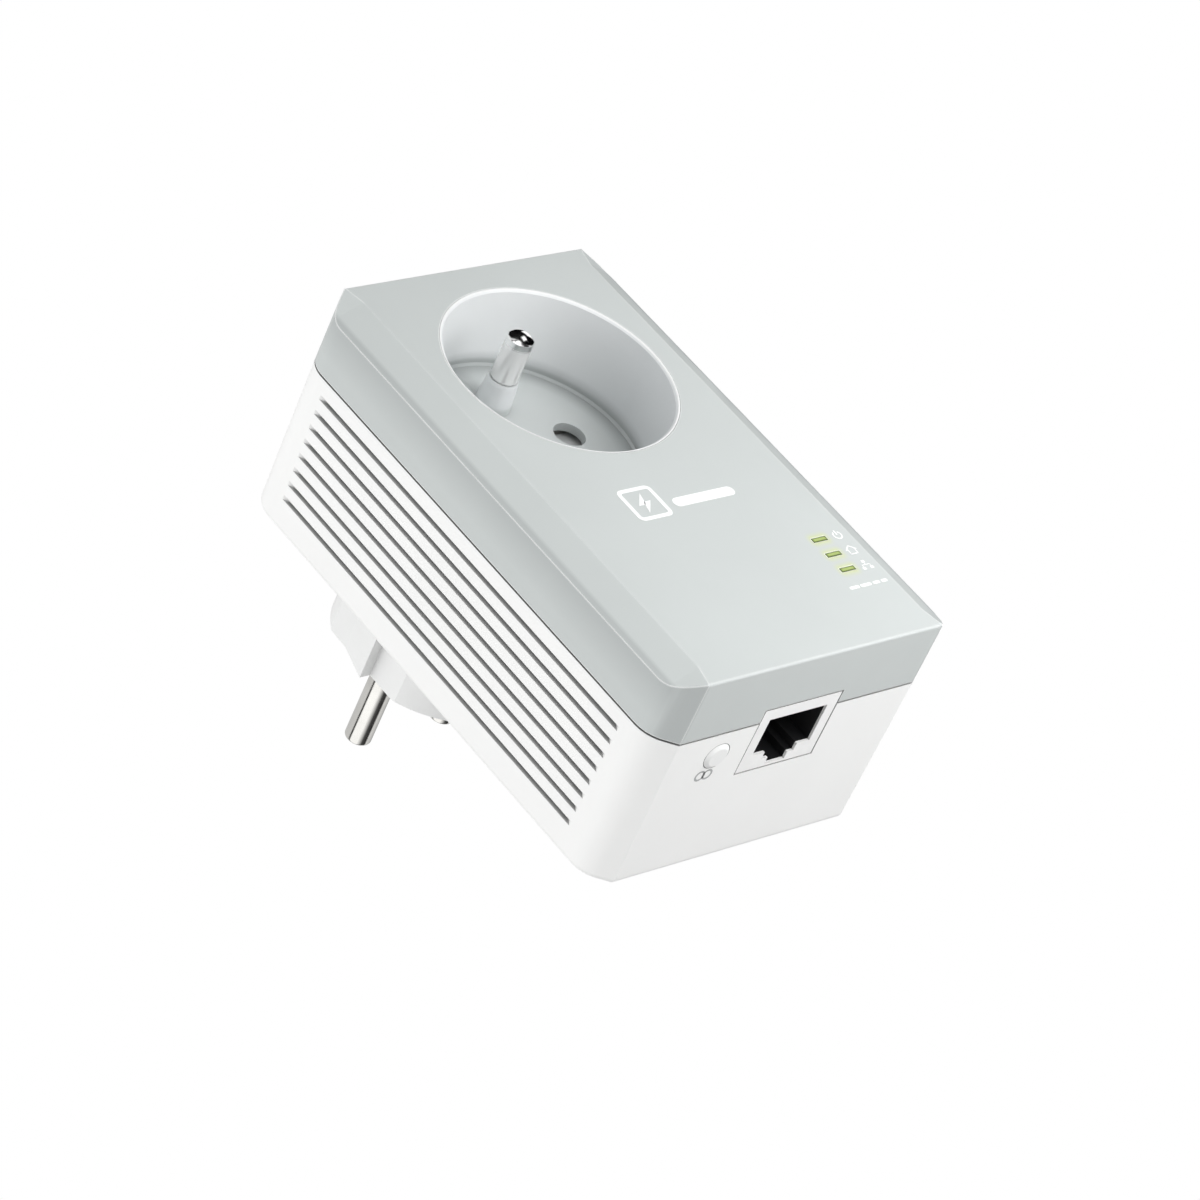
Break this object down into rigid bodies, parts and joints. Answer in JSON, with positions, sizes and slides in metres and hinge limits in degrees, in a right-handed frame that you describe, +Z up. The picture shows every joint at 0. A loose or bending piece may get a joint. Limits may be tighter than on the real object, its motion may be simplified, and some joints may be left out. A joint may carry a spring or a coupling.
{
  "type": "pass-through powerline network adapter",
  "caption": "Plug-in powerline network adapter: grey front with a recessed round-pin socket, white vented rear housing, network port and pair button on the end, two-pin plug nose behind.",
  "frame": {"origin": "midway between the two plug pins, on the end face of the plug nose", "axes": "+Z up the long side from the network port to the socket, +Y out of the plug towards the wall outlet, -Y the front face, +X to the right when facing the front"},
  "size_m": [0.061, 0.0807, 0.0978],
  "materials": {
    "cover_grey": "fine satin texture",
    "housing_white": "fine satin",
    "plug_white": "fine satin",
    "nickel": "nickel plated, polished",
    "contact_brass": "bright",
    "carrier_plastic": "satin",
    "shutter_plastic": "smooth",
    "spring_steel": "drawn wire",
    "shield_metal": "bright tinned sheet",
    "insert_black": "moulded",
    "gold_contact": "gold flashed",
    "plunger_plastic": "moulded",
    "lamp_green": "clear lens",
    "light_pipe": "frosted front",
    "board_green": "solder mask",
    "heat_sink_aluminium": "extruded",
    "crystal_can": "bright",
    "ferrite": "sintered",
    "winding_tape": "polyester tape",
    "capacitor_sleeve": "shrink sleeve",
    "capacitor_box": "moulded box",
    "fuse_ceramic": "glazed",
    "varistor_blue": "dipped epoxy",
    "screw_steel": "zinc plated",
    "label_paper": "blank matte film"
  },
  "bodies": {
    "adapter": {"board_connector": "insert_black", "bulk_capacitor_lower": "capacitor_sleeve", "bulk_capacitor_upper": "capacitor_sleeve", "coupling_transformer": "winding_tape", "crystal": "crystal_can", "earth_link": "contact_brass", "earth_pin": "nickel", "earth_receptacle": "contact_brass", "front_cover": "cover_grey", "heat_sink": "heat_sink_aluminium", "insulating_barrier": "carrier_plastic", "lamp_house": "lamp_green", "lamp_network": "lamp_green", "lamp_power": "lamp_green", "light_pipe_house": "light_pipe", "light_pipe_network": "light_pipe", "light_pipe_power": "light_pipe", "line_choke": "ferrite", "line_fuse": "fuse_ceramic", "live_busbar": "contact_brass", "main_board": "board_green", "mains_capacitor": "capacitor_box", "memory_chip": "insert_black", "network_transformer": "insert_black", "neutral_busbar": "contact_brass", "plc_processor": "insert_black", "plug_body": "plug_white", "plug_pin_left": "nickel", "plug_pin_right": "nickel", "power_board": "board_green", "rear_housing": "housing_white", "rear_label": "label_paper", "rj45_contacts": "gold_contact", "rj45_housing": "insert_black", "rj45_shield": "shield_metal", "screw_lower_left": "screw_steel", "screw_lower_right": "screw_steel", "screw_upper_left": "screw_steel", "screw_upper_right": "screw_steel", "shutter_carrier": "carrier_plastic", "shutter_spring": "spring_steel", "socket_contact_left": "contact_brass", "socket_contact_right": "contact_brass", "socket_well": "cover_grey", "tact_switch": "insert_black", "transformer_core": "ferrite", "transformer_winding": "winding_tape", "varistor": "varistor_blue"},
    "pair_button": {"pair_button": "housing_white"},
    "tact_plunger": {"tact_plunger": "plunger_plastic"},
    "shutter_slider": {"shutter_slider": "shutter_plastic"}
  },
  "joints": [
    {"name": "pair_button_press", "type": "slide", "parent": "adapter", "child": "pair_button", "axis": [0, 0, 1], "range_m": [0, 0.0005], "stiffness_N_per_m": 3000},
    {"name": "tact_plunger_press", "type": "slide", "parent": "adapter", "child": "tact_plunger", "axis": [0, 0, 1], "range_m": [0, 0.0005], "stiffness_N_per_m": 100},
    {"name": "shutter_slide", "type": "slide", "parent": "adapter", "child": "shutter_slider", "axis": [0, 0, -1], "range_m": [0, 0.006], "stiffness_N_per_m": 60, "springref_m": -0.003, "deforming": ["shutter_spring"]}
  ],
  "couplings": [
    {"joint": "tact_plunger_press", "follows": "pair_button_press", "ratio": 1}
  ]
}
